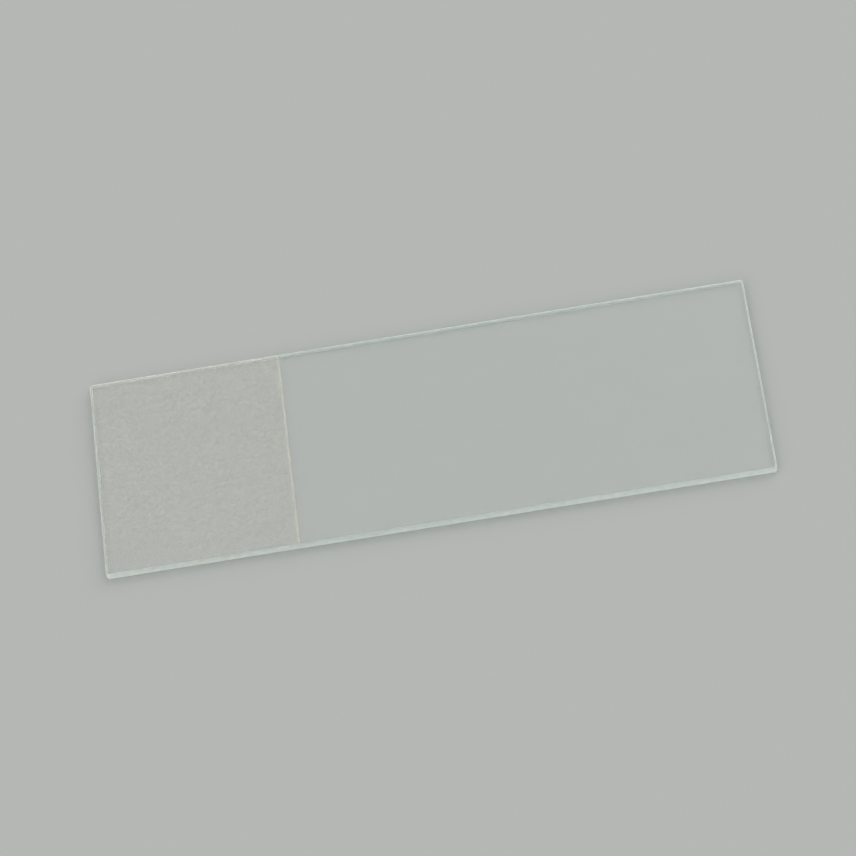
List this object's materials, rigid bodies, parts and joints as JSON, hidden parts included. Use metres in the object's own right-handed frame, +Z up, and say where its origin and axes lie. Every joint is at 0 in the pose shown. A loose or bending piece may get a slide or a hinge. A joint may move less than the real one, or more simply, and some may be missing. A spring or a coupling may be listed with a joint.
{
  "type": "microscope slide",
  "caption": "Flat rectangular glass plate with ground edges and a frosted end for marking, which holds a specimen under a microscope.",
  "frame": {"origin": "middle of the underside, which is the plain face", "axes": "+X along the length towards the clear end, +Y across the width, +Z up out of the face with the frosted field"},
  "size_m": [0.0762, 0.0254, 0.0011],
  "materials": {
    "slide_glass": "clear soda-lime glass, a little green through its depth: polished faces, finely ground edges and a matt frosted field at one end"
  },
  "bodies": {
    "root": {"glass_slide": "slide_glass"}
  },
  "joints": []
}
